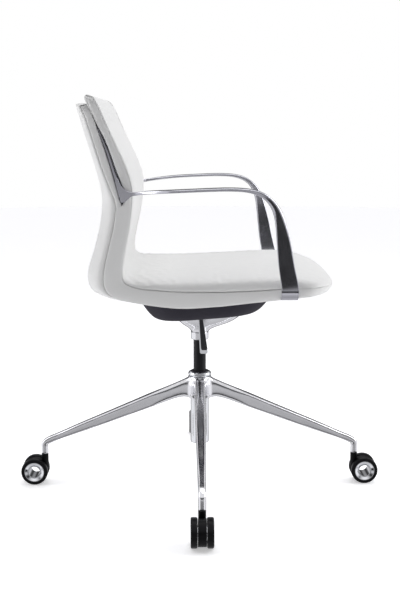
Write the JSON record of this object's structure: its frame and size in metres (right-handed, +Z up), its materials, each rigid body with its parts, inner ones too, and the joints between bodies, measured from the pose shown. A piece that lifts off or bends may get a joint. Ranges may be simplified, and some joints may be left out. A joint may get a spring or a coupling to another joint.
{
  "type": "swivel office chair",
  "caption": "Low-backed swivel office chair: bent white leather seat and back, polished loop arms, black pan, gas lift and a polished star base on open-centre castors.",
  "frame": {"origin": "on the floor, under the gas lift's axis, which is the middle of the base", "axes": "+Z up along the gas lift; +X the way the sitter faces; +Y to the sitter's left"},
  "size_m": [0.813, 0.813, 0.868],
  "materials": {
    "polished_aluminium": "polished, soft reflections",
    "chrome": "bright plated",
    "arm_metal": "mirror polished",
    "black_enamel": "satin black",
    "black_plastic": "fine matt texture",
    "slot_trim": "ribbed",
    "lever_grip": "satin black",
    "steel": "ground",
    "fastener_steel": "black oxide",
    "rubber": "plain",
    "board": "bent plywood",
    "cushion_leather": "white, fine grain, soft satin",
    "shell_leather": "white, fine grain, soft satin",
    "castor_black": "gloss black",
    "castor_tyre": "smooth black tread"
  },
  "bodies": {
    "base": {"base_star": "polished_aluminium", "hub_ring": "chrome", "lift_tube": "chrome", "dust_collar": "black_plastic", "guide_bush": "black_plastic"},
    "spindle": {"piston_rod": "steel", "thrust_bearing": "steel", "rod_clip": "steel"},
    "lift_column": {"gas_cylinder": "black_enamel", "tilt_housing": "polished_aluminium", "torsion_bushes": "rubber", "tilt_pin": "steel", "lever_pin": "steel"},
    "valve": {"valve_pin": "steel"},
    "lever": {"lever_arm": "steel", "lever_paddle_frame": "chrome", "lever_paddle_grip": "lever_grip"},
    "seat": {"back_cushion": "cushion_leather", "seat_cushion": "cushion_leather", "back_board": "board", "seat_board": "board", "outer_shell": "shell_leather", "seat_plate": "steel", "plate_bolts": "fastener_steel", "under_seat_pan": "black_plastic", "arm_right": "arm_metal", "arm_left": "arm_metal", "slot_trim_right": "slot_trim", "slot_trim_left": "slot_trim", "arm_screws": "fastener_steel"},
    "castor_1_swivel": {"castor_1_fork": "castor_black", "castor_1_stem": "steel", "castor_1_sleeve": "chrome"},
    "castor_1_wheel_left": {"castor_1_tyre_left": "castor_tyre", "castor_1_rim_left": "chrome"},
    "castor_1_wheel_right": {"castor_1_tyre_right": "castor_tyre", "castor_1_rim_right": "chrome"},
    "castor_2_swivel": {"castor_2_fork": "castor_black", "castor_2_stem": "steel", "castor_2_sleeve": "chrome"},
    "castor_2_wheel_left": {"castor_2_tyre_left": "castor_tyre", "castor_2_rim_left": "chrome"},
    "castor_2_wheel_right": {"castor_2_tyre_right": "castor_tyre", "castor_2_rim_right": "chrome"},
    "castor_3_swivel": {"castor_3_fork": "castor_black", "castor_3_stem": "steel", "castor_3_sleeve": "chrome"},
    "castor_3_wheel_left": {"castor_3_tyre_left": "castor_tyre", "castor_3_rim_left": "chrome"},
    "castor_3_wheel_right": {"castor_3_tyre_right": "castor_tyre", "castor_3_rim_right": "chrome"},
    "castor_4_swivel": {"castor_4_fork": "castor_black", "castor_4_stem": "steel", "castor_4_sleeve": "chrome"},
    "castor_4_wheel_left": {"castor_4_tyre_left": "castor_tyre", "castor_4_rim_left": "chrome"},
    "castor_4_wheel_right": {"castor_4_tyre_right": "castor_tyre", "castor_4_rim_right": "chrome"}
  },
  "joints": [
    {"name": "seat_swivel", "type": "hinge", "parent": "base", "child": "spindle", "pos_m": [0, 0, 0.1], "axis": [0, 0, 1], "continuous": true},
    {"name": "gas_lift", "type": "slide", "parent": "spindle", "child": "lift_column", "axis": [0, 0, 1], "range_m": [-0.055, 0.04]},
    {"name": "seat_tilt", "type": "hinge", "parent": "lift_column", "child": "seat", "pos_m": [0.045, 0, 0.418], "axis": [0, -1, 0], "range_deg": [0, 10], "stiffness_Nm_per_rad": 70, "springref_deg": -20.05},
    {"name": "lever_pull", "type": "hinge", "parent": "lift_column", "child": "lever", "pos_m": [0, -0.0415, 0.4064], "axis": [-1, 0, 0], "range_deg": [0, 5], "stiffness_Nm_per_rad": 2, "springref_deg": -8.59},
    {"name": "valve_press", "type": "slide", "parent": "lift_column", "child": "valve", "axis": [0, 0, -1], "range_m": [0, 0.0037], "stiffness_N_per_m": 400, "springref_m": -0.002},
    {"name": "castor_1_turn", "type": "hinge", "parent": "base", "child": "castor_1_swivel", "pos_m": [0.354, 0, 0.07], "axis": [0, 0, 1], "continuous": true},
    {"name": "castor_1_roll_left", "type": "hinge", "parent": "castor_1_swivel", "child": "castor_1_wheel_left", "pos_m": [0.3765, 0, 0.03], "axis": [0, 1, 0], "continuous": true},
    {"name": "castor_1_roll_right", "type": "hinge", "parent": "castor_1_swivel", "child": "castor_1_wheel_right", "pos_m": [0.3765, 0, 0.03], "axis": [0, 1, 0], "continuous": true},
    {"name": "castor_2_turn", "type": "hinge", "parent": "base", "child": "castor_2_swivel", "pos_m": [0, 0.354, 0.07], "axis": [0, 0, 1], "continuous": true},
    {"name": "castor_2_roll_left", "type": "hinge", "parent": "castor_2_swivel", "child": "castor_2_wheel_left", "pos_m": [0, 0.3765, 0.03], "axis": [-1, 0, 0], "continuous": true},
    {"name": "castor_2_roll_right", "type": "hinge", "parent": "castor_2_swivel", "child": "castor_2_wheel_right", "pos_m": [0, 0.3765, 0.03], "axis": [-1, 0, 0], "continuous": true},
    {"name": "castor_3_turn", "type": "hinge", "parent": "base", "child": "castor_3_swivel", "pos_m": [-0.354, 0, 0.07], "axis": [0, 0, 1], "continuous": true},
    {"name": "castor_3_roll_left", "type": "hinge", "parent": "castor_3_swivel", "child": "castor_3_wheel_left", "pos_m": [-0.3765, 0, 0.03], "axis": [0, -1, 0], "continuous": true},
    {"name": "castor_3_roll_right", "type": "hinge", "parent": "castor_3_swivel", "child": "castor_3_wheel_right", "pos_m": [-0.3765, 0, 0.03], "axis": [0, -1, 0], "continuous": true},
    {"name": "castor_4_turn", "type": "hinge", "parent": "base", "child": "castor_4_swivel", "pos_m": [0, -0.354, 0.07], "axis": [0, 0, 1], "continuous": true},
    {"name": "castor_4_roll_left", "type": "hinge", "parent": "castor_4_swivel", "child": "castor_4_wheel_left", "pos_m": [0, -0.3765, 0.03], "axis": [1, 0, 0], "continuous": true},
    {"name": "castor_4_roll_right", "type": "hinge", "parent": "castor_4_swivel", "child": "castor_4_wheel_right", "pos_m": [0, -0.3765, 0.03], "axis": [1, 0, 0], "continuous": true}
  ],
  "couplings": [
    {"joint": "valve_press", "follows": "lever_pull", "m_per_rad": 0.0415}
  ]
}
